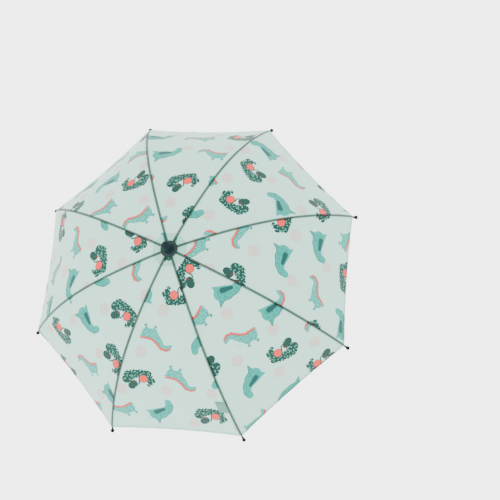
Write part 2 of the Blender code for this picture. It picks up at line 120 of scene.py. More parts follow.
# the strap, folded on gore 6, and its stitches
STRAP_GORE = 6
STRAP_BODY = f"panel_outer_{STRAP_GORE}"
STRAP_FROM = 0.2800
STRAP_LONG = 0.0240
STRAP_WIDE = 0.0200
STRAP_INSET = 0.0012
STRAP_SLOPE = 0.72
STRAP_LAYERS = 3
STRAP_STEP = 0.0007
STRAP_LIFT = 0.0004
STRAP_PITCH = 0.00042
STRAP_THICK = 0.00018
STRAP_SWELL = 0.00022
BOX_EDGE = 0.0026
BOX_STITCH = 0.0019
STITCH_SHARE = 0.72
STITCH_LIFT = 0.00172
STITCH_RISE = 0.00016
STITCH_RADIUS = 0.00013

# ribs, their tips and the tape between a rib and the cloth
RIB_WIDE = 0.0030
RIB_DEEP = 0.0024
RIB_WALL = 0.00045
RIB_SLIM = 0.0018
TONGUE_WIDE = 0.0014
TONGUE_DEEP = 0.0022
TONGUE_WALL = 0.0006
TONGUE_FROM = CROWN_RADIUS - 0.0012
TONGUE_TO = CROWN_RADIUS + 0.0050
RIB_FROM = CROWN_RADIUS + 0.0068
TAPER_LONG = 0.0300
TAPER_GAP = 0.0010
TIP_SEAT = 0.0045
TIP_AIM = 0.0070
FLEX_REACH = 0.0220
BALL_RADIUS = 0.0039
NECK_LONG = 0.0110
NECK_RADIUS = 0.0020
NECK_BORE = 0.0014
NECK_BEAD = [(0.0, -0.0070), (0.0003, -0.0066), (0.0003, -0.0058), (-0.0002, -0.0052)]
TAPE_WIDE = 0.0034
TAPE_BELOW = 0.0009
TAPE_THICK = 0.0003
TAPE_CROWN = 0.0001
TAPE_GAP = 0.0005

# stretchers
STRIP_INNER = 0.0019
STRIP_OUTER = 0.0026
STRIP_DEEP = 0.0022
STRIP_BACK = 0.0005
BRIDGE_DEEP = 0.0026
BRIDGE_EDGE = 0.0004
BRIDGE_FROM = 0.0100
BRIDGE_TO = 0.0055
EYE_FROM = 0.0070
EYE_NECK = 0.0030
EYE_RADIUS = 0.0016
EYE_HALF = 0.0007
RIVET_RADIUS = 0.0006
RIVET_HEAD = 0.0013
RIVET_SINK = 0.0001
RIVET_OUT = 0.0002
RIVET_DOME = 0.0004

# Shaft, hubs and catches. Outlines are (radius, height) points: a foot or leaf from its low
# end, and a flare from the wire. A ring or bead adds its first value to the radius it stands on.
EDGE = 0.0003
SHAFT_RADIUS = 0.0050
SHAFT_BORE = 0.0043
FIT_BORE = 0.0052
CUT_FROM = 0.0020
SHAFT_CUT = 0.0080
HUB_RADIUS = 0.0130
HUB_BELOW = 0.0040
SLOT_INNER = 0.0083
SLOT_OUTER = 0.0200
SLOT_HALF = 0.0010
SLOT_OVER = 0.0060
WIRE_RADIUS = 0.0006
NOTCH_LONG = 0.0120
NOTCH_ABOVE = 0.0012
NOTCH_SLEEVE = 0.0075
NOTCH_FILLET = 0.0006
RUNNER_BORE = 0.00535
RUNNER_WAIST = 0.0078
RUNNER_ABOVE = 0.0035
RUNNER_FLOOR = 0.0039
RUNNER_FOOT = [(0.0086, 0.0), (0.0092, 0.0006), (0.0094, 0.0014), (0.0094, 0.0036)]
RUNNER_FOOT += [(0.0090, 0.0046), (0.0080, 0.0060), (RUNNER_WAIST, 0.0070)]
RUNNER_FLARE = [(RUNNER_WAIST, -0.0090), (0.0082, -0.0075), (0.0095, -0.0052), (0.0115, -0.0042)]
RINGS = 3
RING_PITCH = 0.0024
RINGS_FROM = 0.0196
RING = [(0.0, 0.0), (0.0004, 0.0004), (0.0004, 0.0011), (0.0, 0.0015)]
WINDOW_HALF = 0.0015
WINDOW_FROM = 0.0085
WINDOW_TO = 0.0185
WINDOW_CUT = 0.0120
CATCH_SLOT_HALF = 0.0013
CATCH_SLOT_FROM = 0.0015
CATCH_SLOT_TO = 0.0240
CATCH_MIDDLE = 0.0040
CATCH_LAYERS = ((-0.0009, 0.012), (-0.0007, 0.0), (0.0007, 0.0), (0.0009, 0.012))
CATCH_LEAF = [(0.0024, 0.0), (0.0031, 0.0), (0.0036, 0.0050), (0.0040, 0.0090)]
CATCH_LEAF += [(0.0058, 0.0160), (0.0071, 0.0216)]
CATCH_END = 0.0230
NOSE_OUT = 0.0068
NOSE_ROUND = 0.0006

# Handle, collar, ferrule and cuff. The collar's top is measured from its upper end.
HOOK_LONG = 0.0190
HOOK_ROUND = 0.0035
HOOK_FLAT = 0.0010
GRIP_EDGE = 0.0012
GRIP_FULL = 0.0085
GRIP_BORE_DEEP = 0.0080
MOULD_LINE = 0.0001
COLLAR_FOOT = [(FIT_BORE, 0.0), (0.0079, 0.0), (0.0081, 0.0006), (0.0081, 0.0018)]
COLLAR_FOOT += [(0.0079, 0.0024), (0.0080, 0.0050)]
COLLAR_TOP = [(0.0067, -0.0012), (0.0065, -0.0004), (0.0060, 0.0), (FIT_BORE, 0.0)]
FERRULE_NECK = 0.0062
FERRULE_BALL = 0.00895
FERRULE_BORE_DEEP = 0.0110
FERRULE_EDGE = 0.0004
FERRULE_RIM = 0.0016
FERRULE_CURVE = 0.0079
CUFF_EDGE = 0.0005
CUFF_SEAM = (0.0011, 0.0014, 0.0018)
CUFF_SEAM_DEEP = 0.0002

FLOOR_DROP = 2.6

JOINTS = {j["name"]: j for j in frame["joints"]}
ROOT = "handle_and_shaft"


# ---- the canopy's shape ----
def profile_drop(radius):
    t = radius / TIP_RADIUS
    return CANOPY_DEPTH * (PROFILE_LINEAR * t + PROFILE_SQUARE * t * t + PROFILE_FOURTH * t ** 4)


def fabric_normal(radius):
    """Outward normal of the fabric over a rib, as (radial, up)."""
    e = 1e-5
    slope = (profile_drop(radius + e) - profile_drop(radius - e)) / (2 * e)
    size = math.hypot(slope, 1)
    return slope / size, 1 / size


CROWN = (JOINTS["canopy_fold"]["pos_m"][0], JOINTS["canopy_fold"]["pos_m"][2])
APEX_Z = CROWN[1] + profile_drop(CROWN_RADIUS) + fabric_normal(CROWN_RADIUS)[1] * RIB_DROP


def fabric_z(radius):
    """Height of the fabric over a rib at this distance from the shaft."""
    return APEX_Z - profile_drop(radius)


def rib_point(radius):
    """A point of a rib's centre line, under the fabric at this radius."""
    nr, nz = fabric_normal(radius)
    return radius - nr * RIB_DROP, fabric_z(radius) - nz * RIB_DROP


def radius_back_from_tip(distance):
    """The fabric radius whose rib point lies this far back from the tip."""
    x0, z0 = rib_point(TIP_RADIUS)
    radius = TIP_RADIUS
    while math.hypot(rib_point(radius)[0] - x0, rib_point(radius)[1] - z0) < distance:
        radius -= 0.0001
    return radius


ELBOW = rib_point(STRETCHER_RADIUS)
FLEX = rib_point(FLEX_RADIUS)
TIP = rib_point(TIP_RADIUS)
RUNNER_PIN = (CROWN[0], 2 * ELBOW[1] - CROWN[1])
FOLD_X = FOLD_RADIUS * SHRINK
FLEX_X = FLEX_RADIUS * SHRINK
HEM_X = HEM_RADIUS * SHRINK


def turn(point, angle):
    """A point turned about the shaft."""
    x, y, z = point
    return x * math.cos(angle) - y * math.sin(angle), x * math.sin(angle) + y * math.cos(angle), z


def rib_angle(n):
    return (n - 1) * STEP


def gore_angle(n):
    return (n - 1) * STEP + HALF


# ---- mesh tools ----
def smooth(mesh, sharp=35):
    mesh.shade_smooth()
    mesh.set_sharp_from_angle(angle=math.radians(sharp))


def new_piece(name, verts, faces, material, body=None, sharp=35):
    """A smooth piece with sharp edges past this angle, riding on a body if one is named."""
    mesh = bpy.data.meshes.new(name)
    mesh.from_pydata([tuple(v) for v in verts], [], faces)
    bm = bmesh.new()
    bm.from_mesh(mesh)
    bmesh.ops.recalc_face_normals(bm, faces=bm.faces)
    bm.to_mesh(mesh)
    bm.free()
    mesh.materials.append(material)
    smooth(mesh, sharp)
    ob = bpy.data.objects.new(name, mesh)
    bpy.context.scene.collection.objects.link(ob)
    if body:
        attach(ob, body)
    return ob


class Shape:
    """Points and faces gathered from several closed forms."""

    def __init__(self):
        self.verts = []
        self.faces = []

    def add(self, verts, faces):
        first = len(self.verts)
        self.verts += verts
        self.faces += [tuple(v + first for v in face) for face in faces]
        return self

    def turned(self, angle):
        return [turn(v, angle) for v in self.verts]


def loft(rings, looped=False):
    """Joins rings of points in order, back to the first or closed with two end faces."""
    size = len(rings[0])
    verts = [p for ring in rings for p in ring]
    faces = []
    count = len(rings)
    for i in range(count if looped else count - 1):
        a = i * size
        b = (i + 1) % count * size
        for k in range(size):
            n = (k + 1) % size
            faces.append((a + k, a + n, b + n, b + k))
    if not looped:
        faces.append(tuple(reversed(range(size))))
        faces.append(tuple(range(len(verts) - size, len(verts))))
    return verts, faces


def lathe(profile, steps, looped=False):
    """Turns (radius, z) points about Z. The ends close on small flat caps."""
    rings = []
    for r, z in profile:
        angles = [2 * math.pi * k / steps for k in range(steps)]
        rings.append([(r * math.cos(a), r * math.sin(a), z) for a in angles])
    return loft(rings, looped=looped)


def arc(cx, cy, radius, start, end, steps):
    """Points of an arc, for profiles. Angles are in degrees."""
    out = []
    for k in range(steps + 1):
        a = math.radians(start + (end - start) * k / steps)
        out.append((cx + radius * math.cos(a), cy + radius * math.sin(a)))
    return out


def round_section(wide, deep, radius, steps):
    """A rectangle with round corners, as (across, up) points."""
    out = []
    for sx, sy, start in ((1, -1, -90), (1, 1, 0), (-1, 1, 90), (-1, -1, 180)):
        cx = sx * (wide / 2 - radius)
        cy = sy * (deep / 2 - radius)
        out += arc(cx, cy, radius, start, start + 90, steps)
    return out


def box_at(low, high):
    (x0, y0, z0), (x1, y1, z1) = low, high
    corners = [(x0, y0), (x1, y0), (x1, y1), (x0, y1)]
    return loft([[(x, y, z) for x, y in corners] for z in (z0, z1)])


def cut(ob, tools):
    """Cuts closed forms out of a piece."""
    for verts, faces in tools:
        tool = new_piece("tool", verts, faces, ob.data.materials[0])
        mod = ob.modifiers.new("cut", "BOOLEAN")
        mod.operation = "DIFFERENCE"
        mod.solver = "EXACT"
        mod.object = tool
        bpy.context.view_layer.update()
        graph = bpy.context.evaluated_depsgraph_get()
        mesh = bpy.data.meshes.new_from_object(ob.evaluated_get(graph))
        ob.modifiers.remove(mod)
        ob.data = mesh
        bpy.data.objects.remove(tool, do_unlink=True)
    smooth(ob.data)


# ---- material tools ----
def srgb(r, g, b):
    """Linear colour from 0-255 display values."""
    out = []
    for v in (r, g, b):
        c = v / 255
        out.append(c / 12.92 if c <= 0.04045 else ((c + 0.055) / 1.055) ** 2.4)
    return (*out, 1.0)


def tinted(colour, share, lift=0.0):
    """A colour scaled by a share, held at white."""
    return (*(min(1, c * share + lift) for c in colour[:3]), 1)


def join(tree, item, socket):
    """Links a value to a socket, or sets the socket when the item is a plain number or tuple."""
    if isinstance(item, Value):
        tree.links.new(item.socket, socket)
    else:
        socket.default_value = item


class Value:
    """An output of a node tree that plain arithmetic can be done with."""

    def __init__(self, tree, socket):
        self.tree = tree
        self.socket = socket

    def math(self, kind, *others, clamp=False):
        node = self.tree.nodes.new("ShaderNodeMath")
        node.operation = kind
        node.use_clamp = clamp
        for socket, item in zip(node.inputs, (self, *others)):
            join(self.tree, item, socket)
        return Value(self.tree, node.outputs[0])

    def vector(self, kind, *others, output="Vector"):
        node = self.tree.nodes.new("ShaderNodeVectorMath")
        node.operation = kind
        join(self.tree, self, node.inputs[0])
        for item in others:
            socket = node.inputs["Scale"] if kind == "SCALE" else node.inputs[1]
            join(self.tree, item, socket)
        return Value(self.tree, node.outputs[output])

    def __add__(self, other):
        return self.math("ADD", other)

    def __sub__(self, other):
        return self.math("SUBTRACT", other)

    def __mul__(self, other):
        return self.math("MULTIPLY", other)

    def least(self, other):
        return self.math("MINIMUM", other)

    def most(self, other):
        return self.math("MAXIMUM", other)

    def inside(self, soft):
        """1 where this distance is below 0 and 0 outside, across a soft edge."""
        return self.math("MULTIPLY_ADD", -1 / soft, 0.5, clamp=True)

    def parts(self):
        node = self.tree.nodes.new("ShaderNodeSeparateXYZ")
        join(self.tree, self, node.inputs[0])
        return [Value(self.tree, out) for out in node.outputs]


def joined(tree, x, y):
    """A flat vector of two values."""
    node = tree.nodes.new("ShaderNodeCombineXYZ")
    for socket, item in zip(node.inputs, (x, y)):
        join(tree, item, socket)
    return Value(tree, node.outputs[0])


def mixed(tree, factor, first, second):
    """Two colours, or a colour and a plain tuple, mixed by a factor."""
    node = tree.nodes.new("ShaderNodeMix")
    node.data_type = "RGBA"
    join(tree, factor, node.inputs[0])
    join(tree, first, node.inputs[6])
    join(tree, second, node.inputs[7])
    return Value(tree, node.outputs[2])


def multiplied(tree, factor, first, second):
    mix = mixed(tree, factor, first, second)
    mix.socket.node.blend_type = "MULTIPLY"
    return mix


def attribute(tree, name):
    node = tree.nodes.new("ShaderNodeAttribute")
    node.attribute_name = name
    return Value(tree, node.outputs["Vector"])


def noise(tree, place, scale, detail, rough=0.5):
    node = tree.nodes.new("ShaderNodeTexNoise")
    node.inputs["Scale"].default_value = scale
    node.inputs["Detail"].default_value = detail
    node.inputs["Roughness"].default_value = rough
    join(tree, place, node.inputs["Vector"])
    return Value(tree, node.outputs["Fac"])


def object_place(tree):
    node = tree.nodes.new("ShaderNodeTexCoord")
    return Value(tree, node.outputs["Object"])


def ranged(value, low, high, to_low, to_high):
    """This value's range stretched to another, with its ends held."""
    node = value.tree.nodes.new("ShaderNodeMapRange")
    join(value.tree, value, node.inputs[0])
    for socket, number in zip(node.inputs[1:5], (low, high, to_low, to_high)):
        socket.default_value = number
    return Value(value.tree, node.outputs[0])


def bumped(tree, shader, height, strength, distance):
    node = tree.nodes.new("ShaderNodeBump")
    node.inputs["Strength"].default_value = strength
    node.inputs["Distance"].default_value = distance
    join(tree, height, node.inputs["Height"])
    tree.links.new(node.outputs["Normal"], shader.inputs["Normal"])


def new_material(name):
    m = bpy.data.materials.new(name)
    m.use_nodes = True
    return m, m.node_tree, m.node_tree.nodes["Principled BSDF"]


def plastic(name, colour, rough, shine=0.5):
    """Moulded plastic with a fine grain, faint flow streaks and a little handling wear."""
    m, tree, shader = new_material(name)
    place = object_place(tree)
    streak = noise(tree, place.vector("MULTIPLY", (60, 60, 9)), 1.0, 3.0)
    dark, light = tinted(colour, 0.88), tinted(colour, 1.10, 0.004)
    tone = mixed(tree, ranged(streak, 0.30, 0.70, 0, 1), dark, light)
    join(tree, tone, shader.inputs["Base Color"])
    wear = noise(tree, place, 140, 4.0, 0.6)
    join(tree, ranged(wear, 0.3, 0.7, rough - 0.06, rough + 0.06), shader.inputs["Roughness"])
    shader.inputs["Specular IOR Level"].default_value = shine
    bumped(tree, shader, noise(tree, place, 2600, 2.0), 0.25, 0.00003)
    return m


def metal(name, colour, rough, metallic=1.0):
    """Drawn metal with lengthwise marks and light scuffs."""
    m, tree, shader = new_material(name)
    place = object_place(tree)
    scuff = noise(tree, place, 260, 5.0, 0.65)
    dark, light = tinted(colour, 0.80), tinted(colour, 1.08)
    join(tree, mixed(tree, ranged(scuff, 0.3, 0.7, 0, 1), dark, light), shader.inputs["Base Color"])
    join(tree, ranged(scuff, 0.25, 0.75, rough - 0.07, rough + 0.12), shader.inputs["Roughness"])
    shader.inputs["Metallic"].default_value = metallic
    marks = noise(tree, place.vector("MULTIPLY", (2400, 2400, 120)), 1.0, 2.0)
    bumped(tree, shader, marks, 0.20, 0.00002)
    return m


# ---- the print: plain dinosaur shapes, drawn in millimetres with round-ended limbs ----
MINT = srgb(180, 230, 214)
AQUA = srgb(22, 156, 142)
AQUA_LIGHT = srgb(124, 214, 198)
AQUA_DARK = srgb(14, 76, 72)
GREEN = srgb(16, 64, 56)
GREEN_LIGHT = srgb(96, 196, 172)
CORAL = srgb(236, 68, 60)
CORAL_LINE = srgb(104, 48, 52)
BLUSH = srgb(228, 176, 168)
SPOT = srgb(176, 96, 92)
EDGE_SOFT = 0.30
MOTIF_SIZE = 0.82
TOOTH_HEIGHT = 1.3

CELL_WIDE = 88.0
CELL_HIGH = 80.0


def limb(place, start, end, start_radius, end_radius, tooth=0.0):
    """Distance to a round-ended bar that tapers. With a tooth size its edges are toothed."""
    ax, ay = start
    bx, by = end[0] - ax, end[1] - ay
    size = bx * bx + by * by
    local = place.vector("SUBTRACT", (ax, ay, 0))
    along = local.vector("DOT_PRODUCT", (bx / size, by / size, 0), output="Value")
    along = along.math("MAXIMUM", 0.0).math("MINIMUM", 1.0)
    foot = joined(place.tree, bx, by).vector("SCALE", along)
    gap = local.vector("SUBTRACT", foot).vector("LENGTH", output="Value")
    width = along.math("MULTIPLY_ADD", end_radius - start_radius, start_radius)
    if tooth:
        teeth = along.math("MULTIPLY", math.sqrt(size)).math("PINGPONG", tooth)
        width = width + teeth.math("MULTIPLY", TOOTH_HEIGHT)
    return gap - width


def disc(place, centre, radius):
    return place.vector("DISTANCE", (*centre, 0), output="Value") - radius


def limbs(place, pieces, tooth=0.0):
    """Distance to the nearest of several bars."""
    whole = limb(place, *pieces[0], tooth)
    for piece in pieces[1:]:
        whole = whole.least(limb(place, *piece, tooth))
    return whole


def spots(place, scale, size):
    """1 inside scattered round spots."""
    node = place.tree.nodes.new("ShaderNodeTexVoronoi")
    node.inputs["Scale"].default_value = scale
    node.voronoi_dimensions = "2D"
    join(place.tree, place, node.inputs["Vector"])
    return (Value(place.tree, node.outputs["Distance"]) - size).inside(0.06)


def painted(tree, shape, under, paint):
    """Paints the inside of a shape over what is there."""
    return mixed(tree, shape.inside(EDGE_SOFT), under, paint)


def crumbs(tree, place, centres, under):
    """Small dots beside an animal."""
    whole = disc(place, centres[0], 0.9)
    for centre in centres[1:]:
        whole = whole.least(disc(place, centre, 0.9))
    return painted(tree, whole, under, SPOT)


def long_neck(tree, place, under):
    """An aqua long-necked animal with a coral toothed ridge along its back."""
    body = limbs(place, [
        ((-39, 12), (-29, 4), 0.8, 6.5),
        ((-28, 0), (-12, -5), 10.5, 11.5),
        ((-11, -4), (6, 3), 10.5, 7.5),
        ((6, 3), (20, 12), 7.5, 5.0),
        ((20, 12), (30, 11), 5.0, 4.8),
        ((31, 9), (36, 3), 5.2, 3.6),
        ((-30, -8), (-36, -16), 4.8, 2.4),
        ((-14, -12), (-13, -21), 4.4, 2.6),
    ])
    ridge = limbs(place, [
        ((-36, 15), (-24, 11), 0.3, 0.6),
        ((-24, 11), (-10, 7.5), 0.6, 0.6),
        ((-10, 7.5), (4, 11.5), 0.6, 0.6),
        ((4, 11.5), (18, 18.5), 0.6, 0.6),
        ((18, 18.5), (31, 17), 0.6, 0.6),
        ((31, 17), (38, 9), 0.6, 0.3),
    ], 1.7)
    colour = painted(tree, body, under, AQUA)
    dots = spots(place, 0.22, 0.22).math("MULTIPLY", (body + 1.8).inside(EDGE_SOFT))
    colour = mixed(tree, dots, colour, AQUA_LIGHT)
    toes = limbs(place, [((-39, -15), (-34, -19), 1.0, 1.0), ((-16, -23), (-10, -23), 1.0, 1.0)])
    eye = disc(place, (31, 11), 0.9)
    colour = painted(tree, toes.least(eye), colour, AQUA_DARK)
    colour = painted(tree, ridge - 1.0, colour, CORAL_LINE)
    colour = painted(tree, ridge, colour, CORAL)
    return crumbs(tree, place, ((8, -14), (13, -11), (16, -17)), colour)


def hump_back(tree, place, under):
    """An aqua animal with a pointed tail, a fine dark back line and a darker belly."""
    body = limbs(place, [
        ((-36, 26), (-24, 6), 0.6, 9.5),
        ((-23, -2), (-11, 0), 17.5, 16.5),
        ((-11, 0), (8, 0), 16.0, 11.5),
        ((8, 0), (21, -7), 11.5, 9.0),
        ((22, -9), (26, -19), 9.0, 8.0),
        ((-28, -14), (-37, -23), 8.0, 1.4),
    ])
    belly = limb(place, (-18, -8), (3, -6), 6.6, 4.2)
    outline = (body + 0.6).math("ABSOLUTE") - 0.85
    back = place.vector("DOT_PRODUCT", (0.35, 0.94, 0), output="Value")
    outline = outline.most(back.math("MULTIPLY", -1.0) - 1.0)
    colour = painted(tree, body, under, AQUA)
    colour = painted(tree, belly, colour, AQUA_DARK)
    colour = painted(tree, outline, colour, AQUA_DARK)
    dots = spots(place, 0.115, 0.15).math("MULTIPLY", (body + 3.5).inside(EDGE_SOFT))
    colour = mixed(tree, dots, colour, AQUA_DARK)
    return crumbs(tree, place, ((-1, -20), (5, -18), (9, -22)), colour)


def spike_back(tree, place, under):
    """A dark green animal curled round a coral disc, with a saw-toothed back."""
    body = limbs(place, [
        ((-21, -28), (-32, -14), 0.8, 5.5),
        ((-32, -14), (-28, 3), 5.5, 7.5),
        ((-26, 5), (-4, 10), 7.5, 8.0),
        ((-2, 10), (17, 7), 8.0, 10.0),
        ((17, 7), (25, -2), 10.0, 8.0),
    ], 3.6)
    head = limb(place, (10, -15), (18, -22), 8.5, 7.0, 3.0)
    arm = limbs(place, [((-6, 0), (-3, -16), 2.0, 1.5), ((-3, -16), (2, -20), 1.8, 1.3)])
    colour = painted(tree, body.least(head).least(arm), under, GREEN)
    dots = spots(place, 0.17, 0.20).math("MULTIPLY", (body + 1.2).inside(EDGE_SOFT))
    colour = mixed(tree, dots, colour, GREEN_LIGHT)
    fruit = disc(place, (-15, -6), 9.5)
    colour = painted(tree, fruit - 1.2, colour, GREEN)
    colour = painted(tree, fruit, colour, CORAL)
    return painted(tree, disc(place, (9, -9), 3.4), colour, CORAL_LINE)


def dotted_disc(tree, place, centre, chance, under):
    """A pale disc with fine spots, in most of the cells."""
    shape = disc(place, centre, 11.5).inside(2.5)
    there = shape.math("MULTIPLY", (chance - 0.75).inside(0.01))
    colour = mixed(tree, there.math("MULTIPLY", 0.50), under, BLUSH)
    dots = spots(place, 0.36, 0.22).math("MULTIPLY", there)
    return mixed(tree, dots.math("MULTIPLY", 0.55), colour, SPOT)


def printed_colour(tree, cloth):
    """The whole print. Cells stand in staggered rows, and each holds one animal."""
    x, y, _ = cloth.vector("SCALE", 1 / MM).parts()
    row = y.math("DIVIDE", CELL_HIGH).math("FLOOR")
    shift = row.math("FLOORED_MODULO", 2.0).math("MULTIPLY", CELL_WIDE / 2)
    moved = x + shift
    column = moved.math("DIVIDE", CELL_WIDE).math("FLOOR")
    local_x = moved - column * CELL_WIDE - CELL_WIDE / 2
    local_y = y - row * CELL_HIGH - CELL_HIGH / 2
    cell = tree.nodes.new("ShaderNodeTexWhiteNoise")
    cell.noise_dimensions = "2D"
    join(tree, joined(tree, column + 0.5, row + 0.5), cell.inputs["Vector"])
    chance = Value(tree, cell.outputs["Value"])
    # neighbours along a row and from row to row never hold the same animal
    kind = (column + row * 2.0).math("FLOORED_MODULO", 3.0)
    facing = (column + row).math("FLOORED_MODULO", 2.0).math("MULTIPLY", math.pi)
    spin = chance.math("MULTIPLY_ADD", 1.3, -0.65) + facing
    rotate = tree.nodes.new("ShaderNodeVectorRotate")
    rotate.rotation_type = "Z_AXIS"
    local = joined(tree, local_x, local_y)
    join(tree, local, rotate.inputs["Vector"])
    join(tree, spin, rotate.inputs["Angle"])
    place = Value(tree, rotate.outputs["Vector"]).vector("SCALE", 1 / MOTIF_SIZE)
    ground = dotted_disc(tree, local, (-CELL_WIDE * 0.37, CELL_HIGH * 0.34), chance, MINT)
    first = long_neck(tree, place, ground)
    second = hump_back(tree, place, ground)
    third = spike_back(tree, place, ground)
    colour = mixed(tree, (kind - 0.5).math("GREATER_THAN", 0.0), first, second)
    return mixed(tree, (kind - 1.5).math("GREATER_THAN", 0.0), colour, third)


def weave(cloth):
    """Height of a plain weave, from coordinates that lie flat in the cloth."""
    x, y, _ = cloth.vector("SCALE", WEAVE).parts()
    return x.math("SINE") * y.math("SINE")


def cloth_shader(tree, shader, colour, through):
    """Lets part of the light through the cloth."""
    join(tree, colour, shader.inputs["Base Color"])
    shader.inputs["Roughness"].default_value = 0.62
    shader.inputs["Sheen Weight"].default_value = 0.15
    shader.inputs["Specular IOR Level"].default_value = 0.35
    behind = tree.nodes.new("ShaderNodeBsdfTranslucent")
    join(tree, colour, behind.inputs["Color"])
    both = tree.nodes.new("ShaderNodeMixShader")
    both.inputs[0].default_value = through
    tree.links.new(shader.outputs[0], both.inputs[1])
    tree.links.new(behind.outputs[0], both.inputs[2])
    tree.links.new(both.outputs[0], tree.nodes["Material Output"].inputs["Surface"])


def canopy_cloth():
    """The printed cloth, with painted shade at the crown and along its seams, and a stitched hem."""
    m, tree, shader = new_material("printed_cloth")
    cloth = attribute(tree, "cloth")
    seam, along, hem = attribute(tree, "edges").parts()
    colour = printed_colour(tree, cloth)
    tone = noise(tree, cloth, 22, 3.0)
    colour = multiplied(tree, ranged(tone, 0.35, 0.65, 0.0, 0.10), colour, (0.80, 0.86, 0.83, 1))
    # painted shade: the crown is darkened where the hub and the doubled cloth under it hold back the light
    # through the cloth
    crown = (along - CROWN_SHADE_REACH).inside(0.0006)
    colour = multiplied(tree, crown, colour, (0.66, 0.78, 0.73, 1))
    # painted shade: a dark band along each seam stands for the rib, tape and turned edges under the cloth
    band = (seam - SEAM_SHADE_HALF_WIDTH).inside(0.0008)
    colour = multiplied(tree, band, colour, (0.15, 0.21, 0.19, 1))
    stitch_gap = (along.math("PINGPONG", STITCH_PITCH) - 0.00075).inside(0.0002)
    stitch = ((hem - HEM_STITCH).math("ABSOLUTE") - 0.00022).inside(0.0001) * stitch_gap
    colour = multiplied(tree, stitch, colour, (0.72, 0.80, 0.77, 1))
    cloth_shader(tree, shader, colour, 0.24)
    pucker = noise(tree, cloth.vector("MULTIPLY", (120, 420, 1)), 1.0, 2.0)
    near_seam = ranged(seam, 0.002, 0.016, 1.0, 0.0)
    height = weave(cloth) * 0.30 + pucker * near_seam
    bumped(tree, shader, height, 0.50, 0.0004)
    return m


def plain_cloth(name, colour, through=0.2, threads=WEAVE):
    m, tree, shader = new_material(name)
    place = object_place(tree)
    tone = noise(tree, place, 160, 3.0)
    shade = mixed(tree, ranged(tone, 0.35, 0.65, 0, 1), tinted(colour, 0.86), colour)
    cloth_shader(tree, shader, shade, through)
    x, y, z = place.vector("SCALE", threads).parts()
    bumped(tree, shader, x.math("SINE") * y.math("SINE") + z.math("SINE"), 0.3, 0.00008)
    return m


CLOTH = canopy_cloth()
TAPE = plain_cloth("seam_tape", srgb(84, 122, 112))
STRAP = plain_cloth("strap_cloth", srgb(112, 176, 154), 0.12)
THREAD = plain_cloth("sewing_thread", srgb(96, 150, 134), 0.0, 2 * WEAVE)
# painted shade: the cuff's cloth is darkened to the shade round the ferrule seen from above
CUFF = plain_cloth("crown_cuff_cloth", srgb(16, 46, 46), 0.0)
TEAL_PLASTIC = plastic("handle_plastic", srgb(16, 56, 64), 0.45, shine=0.25)
# painted shade: the ferrule is the handle's teal plastic, darkened to the shade it stands in when seen from
# above
FERRULE_SHADED_PLASTIC = plastic("ferrule_plastic", srgb(6, 33, 36), 0.48, shine=0.12)
TIP_PLASTIC = plastic("tip_plastic", srgb(3, 20, 22), 0.48, shine=0.10)
WHITE_PLASTIC = plastic("white_plastic", srgb(232, 228, 235), 0.38)
RIB_METAL = metal("painted_steel", srgb(74, 84, 82), 0.38, 0.6)
SHAFT_METAL = metal("shaft_steel", srgb(168, 172, 174), 0.24)
SPRING_METAL = metal("spring_steel", srgb(180, 182, 184), 0.24)


# ---- canopy ----
def arc_table():
    """Cloth length from the shaft outwards along the middle of a gore."""
    count = 400
    xs = [HEM_X * 1.05 * k / count for k in range(count + 1)]
    lengths = [0.0]
    for a, b in zip(xs, xs[1:]):
        rise = fabric_z(b / SHRINK) - fabric_z(a / SHRINK)
        lengths.append(lengths[-1] + math.hypot(b - a, rise))
    return xs, lengths


ARC_X, ARC_LENGTH = arc_table()


def cloth_length(x):
    """Length along the cloth from the shaft to this distance, along the middle of a gore."""
    step = ARC_X[1]
    k = min(int(x / step), len(ARC_X) - 2)
    t = x / step - k
    return ARC_LENGTH[k] * (1 - t) + ARC_LENGTH[k + 1] * t


def gore_normal(x):
    """Outward normal of the cloth along the middle of a gore, as (outward, up)."""
    nr, nz = fabric_normal(x / SHRINK)
    size = math.hypot(nr / SHRINK, nz)
    return nr / SHRINK / size, nz / size


def gore_point(x, y, lift):
    """A point of a gore in its own frame, with the sag and the faint pleats of real cloth."""
    side = y / (x * math.tan(HALF))
    length = cloth_length(x)
    flex, hem = cloth_length(FLEX_X), cloth_length(HEM_X)
    span = (length / flex) if x < FLEX_X else (length - flex) / (hem - flex)
    sag = SAG * (1 - side * side) * math.sin(math.pi * min(span, 1)) ** 2
    near = 1 - math.exp(-(((length - flex) / PLEAT_NEAR) ** 2))
    pleat = WAVE * near * math.cos(math.pi * WAVES * side) * min(1, length / PLEAT_GROW)
    nx, nz = gore_normal(x)
    t = max(0, (x - FLEX_X) / (HEM_X - FLEX_X))
    up = lift - sag + pleat - HEM_SAG * (1 - side * side) * t * t
    return x + nx * up, y, fabric_z(x / SHRINK) + nz * up


def eased(t, near_start):
    """Grid positions that crowd a little towards one end."""
    return t ** 1.25 if near_start else 1 - (1 - t) ** 1.25


def gore_span(outer):
    """Where a gore's outer or inner sheet starts and ends, along its middle."""
    return (FLEX_X, HEM_X) if outer else (FOLD_X, FLEX_X)


